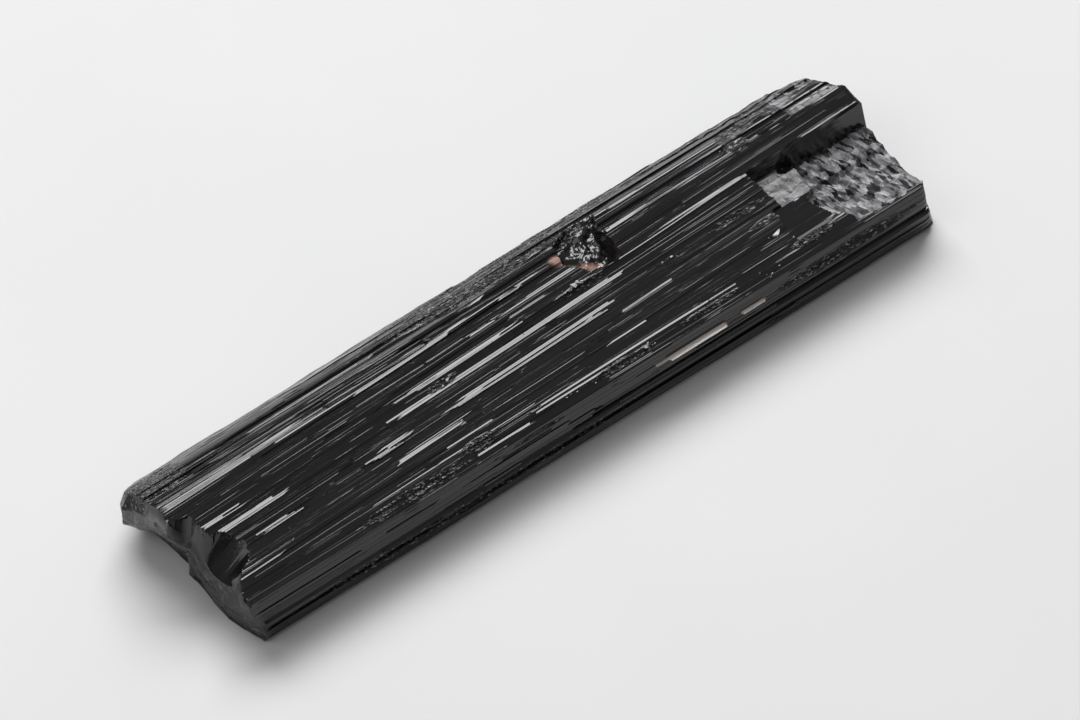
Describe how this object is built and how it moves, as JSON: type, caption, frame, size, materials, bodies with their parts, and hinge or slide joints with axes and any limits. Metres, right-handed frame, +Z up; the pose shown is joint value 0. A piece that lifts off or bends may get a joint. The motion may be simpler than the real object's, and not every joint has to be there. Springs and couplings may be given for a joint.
{
  "type": "tourmaline crystal",
  "caption": "Raw black tourmaline crystal, a long striated prism with broken ends, a small pit and a rough stepped ledge, lying on its side",
  "frame": {"origin": "middle of the base of the crystal's box, on the surface it lies on", "axes": "+X along the prism toward the end with the broken ledge, -Y front, +Z up"},
  "size_m": [0.0654, 0.0164, 0.0069],
  "materials": {
    "tourmaline": "natural vitreous, striated"
  },
  "bodies": {
    "root": {"crystal": "tourmaline"}
  },
  "joints": []
}
